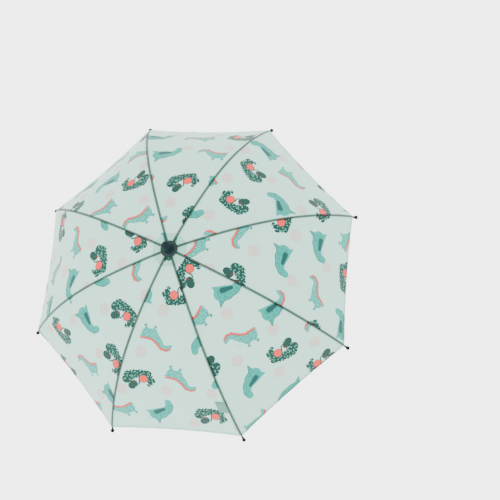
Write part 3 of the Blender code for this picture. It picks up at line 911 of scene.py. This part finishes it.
def gore_grid(outer, rows, cols):
    """Rows of (x, y, lift) over one sheet of a gore, with the turned edges under it."""
    x0, x1 = gore_span(outer)
    grid = []

    def row_at(t, back, lift):
        row = []
        sides = [2 * k / cols - 1 for k in range(cols + 1)]
        for side in sides:
            x = x0 + (x1 - x0) * eased(t, outer) - back
            row.append((x, side * x * math.tan(HALF), lift))
        x, y, _ = row[0]
        turned = min(SEAM_TURN, abs(y) * 0.5)
        row.insert(0, (x, y + turned, lift - LAYER_GAP))
        x, y, _ = row[-1]
        row.append((x, y - turned, lift - LAYER_GAP))
        return row

    for i in range(rows + 1):
        grid.append(row_at(i / rows, 0, 0))
    if outer:
        slope = gore_normal(HEM_X)[1]
        grid.append(row_at(1, HEM_TURN * slope * 0.5, -LAYER_GAP))
        grid.append(row_at(1, HEM_TURN * slope, -LAYER_GAP))
    return grid


def print_offset(n):
    """Each gore is cut from another place of the printed cloth."""
    return 0.301 * n + 0.013, 0.187 * n * n + 0.021


def panel(n, outer):
    """One sheet of a gore."""
    word = "outer" if outer else "inner"
    grid = gore_grid(outer, OUTER_ROWS if outer else INNER_ROWS, COLUMNS)
    cols = len(grid[0])
    angle = gore_angle(n)
    verts, cloth, edges = [], [], []
    du, dv = print_offset(n)
    for row in grid:
        for x, y, lift in row:
            verts.append(turn(gore_point(x, y, lift), angle))
            length = cloth_length(x)
            half = x * math.tan(HALF)
            cloth.append((y + du, length + dv, 0))
            edges.append((half - abs(y), length, cloth_length(HEM_X) - length))
    faces = []
    for i in range(len(grid) - 1):
        for k in range(cols - 1):
            a = i * cols + k
            faces.append((a, a + 1, a + cols + 1, a + cols))
    ob = new_piece(f"canopy_{word}_{n}", verts, faces, CLOTH, f"panel_{word}_{n}", 70)
    for name, values in (("cloth", cloth), ("edges", edges)):
        layer = ob.data.attributes.new(name, "FLOAT_VECTOR", "POINT")
        layer.data.foreach_set("vector", [c for v in values for c in v])
    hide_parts(f"panel_{word}_{n}")
    area = sum(p.area for p in ob.data.polygons)
    x0, x1 = gore_span(outer)
    wide = 2 * x1 * math.tan(HALF) + 2 * SEAM_TURN
    long = cloth_length(x1) - cloth_length(x0) + (HEM_TURN if outer else 0)
    min(area, wide * long)
    middle = turn((x0, 0, fabric_z(x0 / SHRINK)), angle)
    across = turn((0, 1, 0), angle)
    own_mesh(ob)


# ---- ribs and stretchers ----
def rib_rings(sections):
    """Rings of a rib from (radius, section) pairs, its section across and up."""
    rings = []
    for radius, section in sections:
        x, z = rib_point(radius)
        nx, nz = fabric_normal(radius)
        rings.append([(x + nx * up, across, z + nz * up) for across, up in section])
    return rings


def channel(wide, deep, wall):
    """A channel section that opens downwards."""
    a, b = wide / 2, deep / 2
    top = [(a, -b), *arc(a - wall, b - wall, wall, 0, 90, 3)]
    top += [*arc(wall - a, b - wall, wall, 90, 180, 3), (-a, -b)]
    inner = [(wall - a, -b), (wall - a, b - wall), (a - wall, b - wall), (a - wall, -b)]
    return top + inner


def rib(n):
    """A channel-section rib, with a slim tongue at the crown and a slim end in its tip."""
    angle = rib_angle(n)
    sections = []
    tongue = channel(TONGUE_WIDE, TONGUE_DEEP, TONGUE_WALL)
    full = channel(RIB_WIDE, RIB_DEEP, RIB_WALL)
    slim = channel(RIB_SLIM, RIB_SLIM, RIB_WALL)
    end = radius_back_from_tip(TIP_SEAT)
    taper_from = radius_back_from_tip(TAPER_LONG)
    taper_to = radius_back_from_tip(NECK_LONG + TAPER_GAP)
    for radius in (TONGUE_FROM, TONGUE_TO):
        sections.append((radius, tongue))
    count = 60
    for k in range(count + 1):
        sections.append((RIB_FROM + (taper_from - RIB_FROM) * k / count, full))
    sections += [(taper_to, slim), (end, slim)]
    shape = Shape().add(*loft(rib_rings(sections)))
    ob = new_piece(f"rib_{n}", shape.turned(angle), shape.faces, RIB_METAL)
    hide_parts(f"rib_inner_{n}", f"rib_outer_{n}")
    bend_at_flex(ob, n)


def bend_at_flex(ob, n):
    """Bakes a long piece on a rib into its mesh where it stands; the ends of the rib's flex are worked out
    but not used.
    """
    tx, tz = fabric_normal(FLEX_RADIUS)
    low = (FLEX[0] - tz * FLEX_REACH, 0, FLEX[1] + tx * FLEX_REACH)
    high = (FLEX[0] + tz * FLEX_REACH, 0, FLEX[1] - tx * FLEX_REACH)
    angle = rib_angle(n)
    turn(low, angle)
    turn(high, angle)
    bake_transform(ob)


def seam_tape(n):
    """The narrow tape under the seam, between the cloth and the rib."""
    angle = rib_angle(n)
    sections = []
    count = 70
    end = radius_back_from_tip(NECK_LONG + TAPE_GAP)
    top = RIB_DROP - TAPE_BELOW
    side = top - TAPE_CROWN
    low = top - TAPE_THICK
    for k in range(count + 1):
        radius = FOLD_RADIUS + (end - FOLD_RADIUS) * k / count
        # the last four steps narrow towards the tip
        half = (TAPE_WIDE - 0.0002 * max(0, k - count + 4)) / 2
        sections.append((radius, [(-half, side), (0, top), (half, side), (half, low), (-half, low)]))
    shape = Shape().add(*loft(rib_rings(sections)))
    ob = new_piece(f"seam_tape_{n}", shape.turned(angle), shape.faces, TAPE, sharp=70)
    bend_at_flex(ob, n)


def rib_tip(n):
    """The ball on a rib's end and the neck that sleeves the rib."""
    r = NECK_RADIUS
    profile = [(NECK_BORE, -NECK_LONG), (r - EDGE, -NECK_LONG), (r, -NECK_LONG + EDGE)]
    profile += [(r + out, z) for out, z in NECK_BEAD]
    first = math.degrees(math.asin((r + NECK_BEAD[-1][0]) / BALL_RADIUS))
    profile += [(a, b) for b, a in arc(0, 0, BALL_RADIUS, 180 - first, 2, 22)]
    verts, faces = lathe(profile, 32)
    back = rib_point(radius_back_from_tip(TIP_AIM))
    way = math.atan2(TIP[0] - back[0], TIP[1] - back[1])
    place = Matrix.Rotation(rib_angle(n), 4, "Z") @ Matrix.Translation((TIP[0], 0, TIP[1]))
    place = place @ Matrix.Rotation(way, 4, "Y")
    verts = [place @ Vector(v) for v in verts]
    ob = new_piece(f"tip_{n}", verts, faces, TIP_PLASTIC, f"rib_outer_{n}")
    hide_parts(f"rib_tip_{n}")


def stretcher(n):
    """Two round-edged strips, a bridge and an eye at the runner, and rivet heads at the rib."""
    x0, z0 = ELBOW
    length = math.hypot(RUNNER_PIN[0] - x0, RUNNER_PIN[1] - z0)
    ux, uz = (RUNNER_PIN[0] - x0) / length, (RUNNER_PIN[1] - z0) / length
    nx, nz = -uz, ux
    shape = Shape()

    def ring(along, section, shift=0.0):
        cx, cz = x0 + ux * along, z0 + uz * along
        return [(cx + nx * up, across + shift, cz + nz * up) for across, up in section]

    def pin(along, radius, y0, y1, dome=0.0):
        profile = [(radius, y0), (radius, y1)]
        if dome:
            profile += [(radius * 0.7, y1 + dome * 0.7), (radius * 0.15, y1 + dome)]
        cx, cz = x0 + ux * along, z0 + uz * along
        verts, faces = lathe(profile, 20)
        shape.add([(cx + a, c, cz + b) for a, b, c in verts], faces)

    thick = STRIP_OUTER - STRIP_INNER
    middle = (STRIP_OUTER + STRIP_INNER) / 2
    strip = round_section(thick, STRIP_DEEP, EDGE, 2)
    count = 24
    for side in (-1, 1):
        rings = [ring(length * k / count - STRIP_BACK, strip, side * middle) for k in range(count)]
        shape.add(*loft(rings))
    bridge = round_section(2 * STRIP_OUTER, BRIDGE_DEEP, BRIDGE_EDGE, 2)
    places = (BRIDGE_FROM, BRIDGE_FROM - BRIDGE_EDGE, BRIDGE_TO + BRIDGE_EDGE, BRIDGE_TO)
    shape.add(*loft([ring(length - a, bridge) for a in places]))
    tongue = round_section(TONGUE_WIDE, TONGUE_DEEP, EDGE, 2)
    shape.add(*loft([ring(length - a, tongue) for a in (EYE_FROM, EYE_NECK, 0.0)]))
    pin(length, EYE_RADIUS, -EYE_HALF, EYE_HALF)
    pin(0, RIVET_RADIUS, -STRIP_OUTER, STRIP_OUTER)
    pin(0, RIVET_HEAD, STRIP_OUTER - RIVET_SINK, STRIP_OUTER + RIVET_OUT, RIVET_DOME)
    pin(0, RIVET_HEAD, RIVET_SINK - STRIP_OUTER, -STRIP_OUTER - RIVET_OUT, -RIVET_DOME)
    body = f"stretcher_{n}"
    ob = new_piece(f"stretcher_arm_{n}", shape.turned(rib_angle(n)), shape.faces, RIB_METAL, body)
    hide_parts(body)


# ---- shaft, hubs and handle ----
def hub_slots(z0, z1):
    """Cutting boxes for the eight slots of a hub."""
    tools = []
    for n in range(1, RIBS + 1):
        verts, faces = box_at((SLOT_INNER, -SLOT_HALF, z0), (SLOT_OUTER, SLOT_HALF, z1))
        tools.append(([turn(v, rib_angle(n)) for v in verts], faces))
    return tools


def hub_wire(name, z, body):
    """The wire ring that the ribs or stretchers turn on."""
    section = arc(CROWN[0], z, WIRE_RADIUS, 0, 330, 11)
    rings = []
    steps = 96
    for k in range(steps):
        a = 2 * math.pi * k / steps
        rings.append([(r * math.cos(a), r * math.sin(a), h) for r, h in section])
    ob = new_piece(name, *loft(rings, looped=True), SPRING_METAL, body)


def turned_piece(name, profile, material, node, body=ROOT, looped=True, steps=64):
    """A piece turned about the shaft. A looped profile leaves its bore open."""
    ob = new_piece(name, *lathe(profile, steps, looped), material, body)
    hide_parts(node)
    return ob


def crown_notch():
    """The upper hub: a slotted disc on a sleeve."""
    z = CROWN[1]
    foot, low, top = z - NOTCH_LONG, z - HUB_BELOW, z + NOTCH_ABOVE
    sleeve = NOTCH_SLEEVE
    profile = [(FIT_BORE, foot), (sleeve - EDGE, foot), (sleeve, foot + EDGE), (sleeve, low - NOTCH_FILLET)]
    profile += [(sleeve + NOTCH_FILLET, low), (HUB_RADIUS - EDGE, low), (HUB_RADIUS, low + EDGE)]
    profile += [(HUB_RADIUS, top - EDGE), (HUB_RADIUS - EDGE, top), (FIT_BORE, top)]
    ob = turned_piece("crown_hub", profile, WHITE_PLASTIC, "crown_notch")
    cut(ob, hub_slots(z - SLOT_OVER, z + SLOT_OVER))
    hub_wire("crown_wire", z, ROOT)


def runner():
    """The sliding hub, with a foot, grip rings and a window on the catches' side."""
    z = RUNNER_PIN[1]
    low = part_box("runner")[0][2]
    profile = [(RUNNER_BORE, low)] + [(r, low + h) for r, h in RUNNER_FOOT]
    grip = low + RINGS_FROM
    profile.append((RUNNER_WAIST, grip - RING_PITCH / 4))
    for k in range(RINGS):
        base = grip + RING_PITCH * k
        profile += [(RUNNER_WAIST + out, base + h) for out, h in RING]
    profile += [(r, z + h) for r, h in RUNNER_FLARE]
    under, top = z - HUB_BELOW, z + RUNNER_ABOVE
    profile += [(HUB_RADIUS - EDGE, under), (HUB_RADIUS, under + EDGE)]
    profile += [(HUB_RADIUS, top - EDGE), (HUB_RADIUS - EDGE, top)]
    profile += [(0.0060, top), (RUNNER_BORE, top - 0.0005)]
    ob = turned_piece("runner_sleeve", profile, WHITE_PLASTIC, "runner", "runner")
    window = box_at((CUT_FROM, -WINDOW_HALF, low + WINDOW_FROM), (WINDOW_CUT, WINDOW_HALF, low + WINDOW_TO))
    window = ([turn(v, HALF) for v in window[0]], window[1])
    cut(ob, hub_slots(z - RUNNER_FLOOR, z + SLOT_OVER) + [window])
    hub_wire("runner_wire", z, "runner")


def shaft():
    """The steel tube, slotted where each catch stands out."""
    low, high = (corner[2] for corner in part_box("shaft"))
    profile = [(SHAFT_BORE, low), (SHAFT_RADIUS, low), (SHAFT_RADIUS, high), (SHAFT_BORE, high)]
    ob = turned_piece("shaft_tube", profile, SHAFT_METAL, "shaft", steps=48)
    slots = []
    for node in ("top_catch", "bottom_catch"):
        z0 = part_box(node)[0][2]
        inner = (CUT_FROM, -CATCH_SLOT_HALF, z0 - CATCH_SLOT_FROM)
        outer = (SHAFT_CUT, CATCH_SLOT_HALF, z0 + CATCH_SLOT_TO)
        verts, faces = box_at(inner, outer)
        slots.append(([turn(v, HALF) for v in verts], faces))
    cut(ob, slots)


def catch(node, z0, way):
    """A bent leaf with rolled edges, whose nose stands out of the shaft, up or down from z0."""
    nose = arc(NOSE_OUT, CATCH_END - NOSE_ROUND, NOSE_ROUND, 0, 90, 4)
    outline = [*CATCH_LEAF, *nose, (CATCH_LEAF[0][0], CATCH_END)]
    rings = []
    for y, pinch in CATCH_LAYERS:
        ring = [(x + (CATCH_MIDDLE - x) * pinch, y, z0 + way * z) for x, z in outline]
        rings.append([turn(point, HALF) for point in ring])
    ob = new_piece(f"{node}_leaf", *loft(rings), SPRING_METAL, node)
    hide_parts(node)


def handle():
    """The crook: a round bar with a faint mould line down both sides."""
    low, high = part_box("handle")
    grip = (high[1] - low[1]) / 2
    bend = (high[0] - low[0]) / 2 - grip
    top = high[2]
    bend_z = low[2] + grip + bend
    hook_z = bend_z + HOOK_LONG
    steps = 64
    rings = []

    def ring(x, z, nx, nz, radius):
        out = []
        for k in range(steps):
            a = 2 * math.pi * k / steps
            # slim rings, at the ends and in the bore, have no mould line
            seam = MOULD_LINE if k % (steps // 2) == steps // 4 else 0.0
            r = radius + seam * (radius > GRIP_FULL)
            out.append((x + nx * r * math.cos(a), r * math.sin(a), z + nz * r * math.cos(a)))
        return out

    rings.append(ring(0, top - GRIP_BORE_DEEP, 1, 0, FIT_BORE))
    rings.append(ring(0, top, 1, 0, FIT_BORE))
    for r, z in arc(grip - GRIP_EDGE, top - GRIP_EDGE, GRIP_EDGE, 90, 0, 5):
        rings.append(ring(0, z, 1, 0, r))
    for k in range(1, 8):
        rings.append(ring(0, top + (bend_z - top) * k / 8, 1, 0, grip))
    bends = 56
    for k in range(bends + 1):
        a = math.pi * k / bends
        x, z = bend * (1 - math.cos(a)), bend_z - bend * math.sin(a)
        rings.append(ring(x, z, math.cos(a), math.sin(a), grip))
    for r, z in arc(grip - HOOK_ROUND, hook_z - HOOK_ROUND, HOOK_ROUND, 0, 90, 8):
        rings.append(ring(2 * bend, z, -1, 0, r))
    rings.append(ring(2 * bend, hook_z, -1, 0, HOOK_FLAT))
    ob = new_piece("crook_handle", *loft(rings), TEAL_PLASTIC, ROOT, 50)
    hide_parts("handle")


def handle_collar():
    """The white ring on the grip, with a band at its foot and a sloping side."""
    low, high = (corner[2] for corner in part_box("handle_collar"))
    profile = [(r, low + h) for r, h in COLLAR_FOOT] + [(r, high + h) for r, h in COLLAR_TOP]
    turned_piece("grip_collar", profile, WHITE_PLASTIC, "handle_collar")


def ferrule():
    """The flared cap with a ball on top."""
    low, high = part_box("ferrule")
    z = low[2]
    flare = (high[0] - low[0]) / 2
    neck, ball = FERRULE_NECK, FERRULE_BALL
    profile = [(FIT_BORE, z + FERRULE_BORE_DEEP), (FIT_BORE, z)]
    profile += [(flare - FERRULE_EDGE, z), (flare, z + FERRULE_EDGE), (flare, z + FERRULE_RIM)]
    steps = 14
    for k in range(1, steps + 1):
        t = k / steps
        profile.append((neck + (flare - neck) * (1 - t) ** 2, z + FERRULE_RIM + FERRULE_CURVE * t))
    centre = high[2] - ball
    first = math.degrees(math.asin(neck / ball))
    profile += [(a, centre + b) for b, a in arc(0, 0, ball, 180 - first, 1, 40)]
    turned_piece("ferrule_cap", profile, FERRULE_SHADED_PLASTIC, "ferrule", looped=False)


def crown_washer():
    """The cloth cuff round the ferrule's foot, darkened with painted shade, with a sewn groove near its
    edge.
    """
    low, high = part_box("crown_washer")
    r, a, b = high[0], low[2], high[2]
    outer, middle, inner = (r - back for back in CUFF_SEAM)
    rim = arc(r - CUFF_EDGE, (a + b) / 2, (b - a) / 2, -80, 80, 6)
    profile = [(FIT_BORE, a), (r - CUFF_EDGE, a), *rim]
    profile += [(outer, b), (middle, b - CUFF_SEAM_DEEP), (inner, b), (FIT_BORE, b)]
    turned_piece("crown_cuff", profile, CUFF, "crown_washer")


# ---- strap ----
def strap_place(along, across, lift):
    """A point on the strap, in its gore's frame. The strap follows the seam beside it."""
    x = STRAP_FROM - along
    return gore_point(x, x * math.tan(HALF) - STRAP_INSET - across, lift)


def strap_long():
    """The strap's length along x, which is shorter than along the cloth."""
    return STRAP_LONG * STRAP_SLOPE


def strap_fold():
    """The strap, folded in three and sewn down on its gore beside a rib."""
    angle = gore_angle(STRAP_GORE)
    rows, cols = 20, 18
    shape = Shape()
    for layer in range(STRAP_LAYERS):
        cut_back = STRAP_STEP * layer
        base = STRAP_LIFT + STRAP_PITCH * layer
        tops, unders = [], []
        for i in range(rows + 1):
            along = cut_back + (strap_long() - 1.5 * cut_back) * i / rows
            for k in range(cols + 1):
                across = 0.4 * cut_back + (STRAP_WIDE - 0.8 * cut_back) * k / cols
                rim = min(i, rows - i, k, cols - k)
                swell = STRAP_SWELL * (1 - math.exp(-rim * 0.9))
                tops.append(strap_place(along, across, base + STRAP_THICK + swell))
                unders.append(strap_place(along, across, base))
        shape.add(*sheet_solid(tops, unders, rows, cols))
    ob = new_piece("strap_fold", shape.turned(angle), shape.faces, STRAP, STRAP_BODY, 60)
    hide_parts("closure_strap")
    squash_with_gore(ob)


def sheet_solid(tops, unders, rows, cols):
    """Closes two grids of points into one thin form."""
    count = len(tops)
    faces = []
    for i in range(rows):
        for k in range(cols):
            a = i * (cols + 1) + k
            quad = (a, a + 1, a + cols + 2, a + cols + 1)
            faces.append(quad)
            faces.append(tuple(v + count for v in reversed(quad)))
    rim = [k for k in range(cols)]
    rim += [i * (cols + 1) + cols for i in range(rows)]
    rim += [rows * (cols + 1) + k for k in range(cols, 0, -1)]
    rim += [i * (cols + 1) for i in range(rows, 0, -1)]
    faces += [(a, b, b + count, a + count) for a, b in zip(rim, rim[1:] + rim[:1])]
    return tops + unders, faces


def stitch(start, end, number, count):
    """Rings of one arched stitch, of this many along a line on the strap."""
    away = 0.5 * math.pi + math.atan2(end[1] - start[1], end[0] - start[0])
    steps, sides = 6, 6
    rings = []
    for step in range(steps + 1):
        t = (number + (1 - STITCH_SHARE) / 2 + STITCH_SHARE * step / steps) / count
        along = start[0] + (end[0] - start[0]) * t
        across = start[1] + (end[1] - start[1]) * t
        arch = math.sin(math.pi * step / steps)
        thin = STITCH_RADIUS * (0.5 + 0.5 * arch)
        ring = []
        for k in range(sides):
            b = 2 * math.pi * k / sides
            side = thin * math.cos(b)
            lift = STITCH_LIFT + STITCH_RISE * arch + thin * math.sin(b)
            ring.append(strap_place(along + side * math.cos(away), across + side * math.sin(away), lift))
        rings.append(ring)
    return rings


def strap_stitches():
    """A box of stitches, with a cross in it, through the strap's folds."""
    long, wide, edge = strap_long(), STRAP_WIDE, BOX_EDGE
    corners = [(edge, edge), (edge, wide - edge), (long - edge, wide - edge), (long - edge, edge)]
    lines = list(zip(corners, corners[1:] + corners[:1]))
    lines += [(corners[0], corners[2]), (corners[1], corners[3])]
    shape = Shape()
    for start, end in lines:
        count = int(math.hypot((end[0] - start[0]) / STRAP_SLOPE, end[1] - start[1]) / BOX_STITCH)
        for i in range(count):
            shape.add(*loft(stitch(start, end, i, count)))
    verts = shape.turned(gore_angle(STRAP_GORE))
    ob = new_piece("strap_stitches", verts, shape.faces, THREAD, STRAP_BODY)
    squash_with_gore(ob)


def squash_with_gore(ob):
    """Gives a piece on the strap's gore its own copy of its mesh; the gore's middle is worked out but not
    used.
    """
    angle = gore_angle(STRAP_GORE)
    middle = turn((FLEX_X, 0, fabric_z(FLEX_RADIUS)), angle)
    turn((0, 1, 0), angle)
    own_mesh(ob)


# ---- camera, floor and light ----
def camera():
    """Over the canopy, tilted about 21 degrees from straight down."""
    right = Vector((0.9358, -0.2915, -0.1984))
    up = Vector((0.3403, 0.8941, 0.2913))
    back = right.cross(up)
    place = Vector((0.8973, -1.9490, 5.4573)) * TIP[0] + Vector((0, 0, TIP[1]))
    data = bpy.data.cameras.new("camera")
    data.lens = 72
    data.sensor_width = 36
    data.clip_start = 0.05
    ob = bpy.data.objects.new("camera", data)
    bpy.context.scene.collection.objects.link(ob)
    turned = Matrix((right, up, back)).transposed().to_4x4()
    ob.matrix_world = Matrix.Translation(place) @ turned
    bpy.context.scene.camera = ob


def floor():
    m, tree, shader = new_material("floor")
    place = object_place(tree)
    tone = noise(tree, place, 3.0, 2.0)
    colour = mixed(tree, tone, (0.93, 0.93, 0.93, 1), (0.95, 0.95, 0.95, 1))
    join(tree, colour, shader.inputs["Base Color"])
    shader.inputs["Roughness"].default_value = 0.9
    shader.inputs["Emission Color"].default_value = (1, 1, 1, 1)
    shader.inputs["Emission Strength"].default_value = 2.8
    side, z = 16.0, cad_box[0][2] - FLOOR_DROP
    corners = [(-side, -side, z), (side, -side, z), (side, side, z), (-side, side, z)]
    ob = new_piece("floor", corners, [(0, 1, 2, 3)], m)


def area_light(name, place, target, size, power):
    data = bpy.data.lights.new(name, "AREA")
    data.size = size
    data.energy = power
    ob = bpy.data.objects.new(name, data)
    ob.location = place
    ob.rotation_euler = (Vector(target) - Vector(place)).to_track_quat("-Z", "Y").to_euler()
    bpy.context.scene.collection.objects.link(ob)


def lights():
    """A white sky, a soft key light and a weaker fill from the other side."""
    world = bpy.data.worlds.new("studio")
    world.use_nodes = True
    sky = world.node_tree.nodes["Background"]
    sky.inputs["Color"].default_value = (1, 1, 1, 1)
    sky.inputs["Strength"].default_value = 1.7
    bpy.context.scene.world = world
    area_light("key", (-1.6, -0.4, 2.4), (0, 0, 0.35), 1.8, 40)
    area_light("fill", (1.8, 1.2, 2.0), (0, 0, 0.35), 2.4, 16)


for number in range(1, RIBS + 1):
    panel(number, False)
    panel(number, True)
    rib(number)
    seam_tape(number)
    rib_tip(number)
    stretcher(number)
crown_notch()
runner()
shaft()
catch("top_catch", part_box("top_catch")[0][2], 1)
catch("bottom_catch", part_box("bottom_catch")[1][2], -1)
handle()
handle_collar()
ferrule()
crown_washer()
strap_fold()
strap_stitches()
camera()
floor()
lights()
